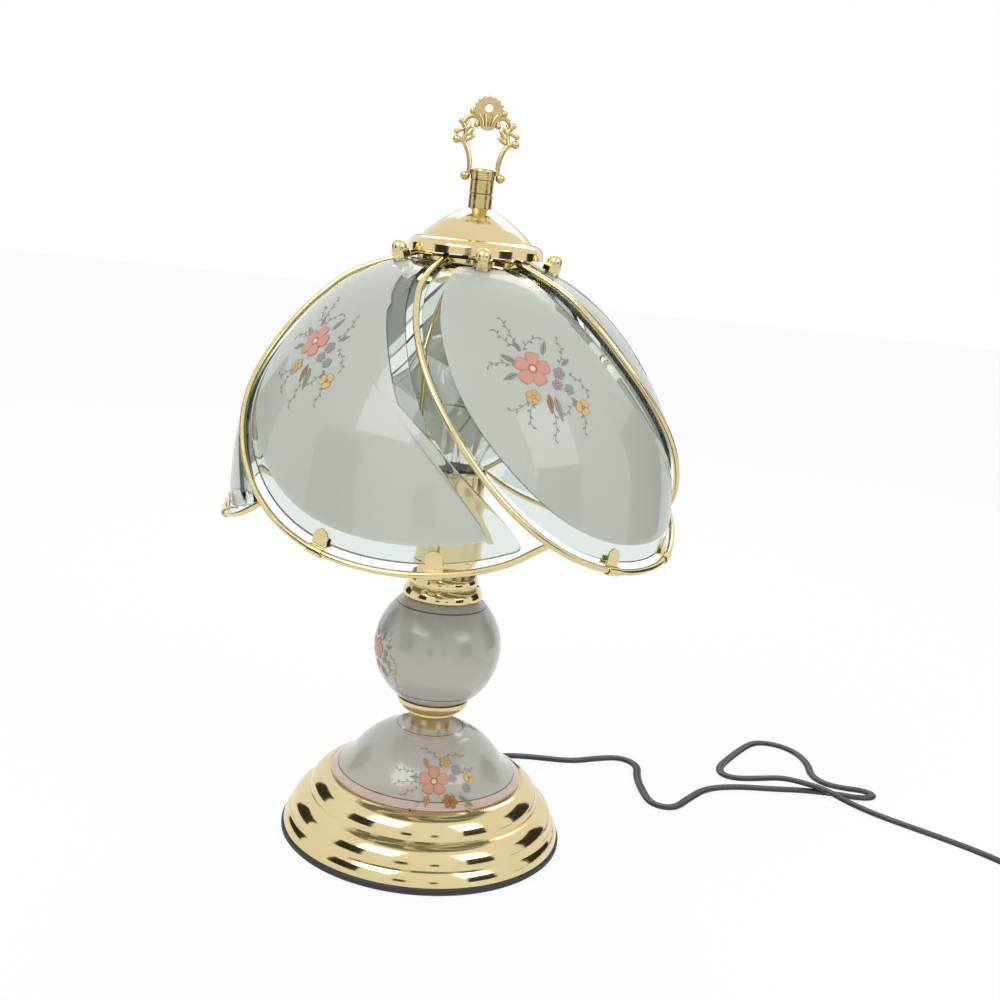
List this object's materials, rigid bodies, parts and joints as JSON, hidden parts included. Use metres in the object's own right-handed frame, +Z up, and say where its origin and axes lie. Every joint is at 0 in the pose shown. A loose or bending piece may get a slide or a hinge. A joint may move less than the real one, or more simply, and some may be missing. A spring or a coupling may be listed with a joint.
{
  "type": "tulip shade table lamp",
  "caption": "Touch table lamp with a stepped brass foot, ceramic dome and ball column, and a pinwheel shade of bent frosted glass petals in brass wire.",
  "frame": {"origin": "centre of the foot on the table", "axes": "+Z up the column; -Y is the front, where one petal's nut faces the viewer; the cord leaves towards +X and +Y"},
  "size_m": [0.5371, 0.2882, 0.3853],
  "materials": {
    "black_rubber": "matte moulded rubber",
    "black_felt": "felt",
    "cast_weight": "rough casting",
    "polished_brass": "polished, pale gold",
    "cast_brass": "cast and polished, dark in the recesses",
    "screw_brass": "plain",
    "blade_brass": "plain",
    "black_plastic": "moulded",
    "cord_pvc": "satin black vinyl",
    "lead_pvc": "satin vinyl",
    "zinc_steel": "zinc plated",
    "glazed_ceramic": "warm grey glaze, satin",
    "card_liner": "pressed card",
    "clear_glass": "clear",
    "bulb_metal": "plain",
    "filament_wire": "drawn wire",
    "clear_rubber": "translucent",
    "frosted_glass": "frosted, clear bevelled border"
  },
  "bodies": {
    "base": {"foot_ring": "black_rubber", "felt_pad": "black_felt", "base_weight": "cast_weight", "base_shell": "polished_brass", "touch_control_box": "black_plastic", "inner_cord": "cord_pvc", "cord_bushing": "cord_pvc", "socket_leads": "lead_pvc", "threaded_rod": "zinc_steel", "rod_nut": "zinc_steel", "rod_washer": "zinc_steel", "base_dome": "glazed_ceramic", "lower_cup": "polished_brass", "ceramic_ball": "glazed_ceramic", "upper_collar": "polished_brass", "harp_saddle": "polished_brass", "harp": "polished_brass", "harp_crown": "polished_brass", "socket_cap": "polished_brass", "socket_shell": "polished_brass", "socket_liner": "card_liner", "socket_body": "black_plastic", "socket_screw_shell": "screw_brass", "power_cord": "cord_pvc", "power_cord_coil": "cord_pvc", "plug_body": "cord_pvc", "plug_blades": "blade_brass"},
    "shade": {"harp_stud": "polished_brass", "shade_plate": "polished_brass", "frame_hub": "polished_brass", "hub_nut": "polished_brass", "petal_studs": "polished_brass", "petal_washers": "clear_rubber", "acorn_nuts": "polished_brass", "petal_clips": "polished_brass", "shade_cap": "polished_brass", "petal_wire_1": "polished_brass", "petal_wire_2": "polished_brass", "petal_wire_3": "polished_brass", "petal_wire_4": "polished_brass", "petal_wire_5": "polished_brass", "glass_petal_1": "frosted_glass", "glass_petal_2": "frosted_glass", "glass_petal_3": "frosted_glass", "glass_petal_4": "frosted_glass", "glass_petal_5": "frosted_glass"},
    "finial_nut": {"finial_coupler": "polished_brass"},
    "finial": {"finial_post": "polished_brass", "finial_loop": "cast_brass"},
    "bulb_cap": {"bulb_screw_base": "bulb_metal"},
    "bulb": {"bulb_glass": "clear_glass", "bulb_stem": "clear_glass", "bulb_filament": "filament_wire"},
    "sleeve_1": {"harp_sleeve_1": "polished_brass"},
    "sleeve_2": {"harp_sleeve_2": "polished_brass"}
  },
  "joints": [
    {"name": "shade_turn", "type": "hinge", "parent": "base", "child": "shade", "pos_m": [0, 0, 0.3], "axis": [0, 0, 1], "continuous": true},
    {"name": "finial_lift", "type": "slide", "parent": "shade", "child": "finial_nut", "axis": [0, 0, 1], "range_m": [0, 0.01129]},
    {"name": "finial_turn", "type": "hinge", "parent": "finial_nut", "child": "finial", "pos_m": [0, 0, 0.345], "axis": [0, 0, 1], "range_deg": [0, 4320]},
    {"name": "bulb_lift", "type": "slide", "parent": "base", "child": "bulb_cap", "axis": [0, 0, 1], "range_m": [0, 0.01451]},
    {"name": "bulb_turn", "type": "hinge", "parent": "bulb_cap", "child": "bulb", "pos_m": [0, 0, 0.17], "axis": [0, 0, 1], "range_deg": [0, 1440]},
    {"name": "sleeve_1_slide", "type": "slide", "parent": "base", "child": "sleeve_1", "axis": [0, 0, 1], "range_m": [0, 0.009]},
    {"name": "sleeve_2_slide", "type": "slide", "parent": "base", "child": "sleeve_2", "axis": [0, 0, 1], "range_m": [0, 0.009]}
  ],
  "couplings": [
    {"joint": "finial_lift", "follows": "finial_turn", "m_per_rad": 0.00014972},
    {"joint": "bulb_lift", "follows": "bulb_turn", "m_per_rad": 0.0005775}
  ]
}
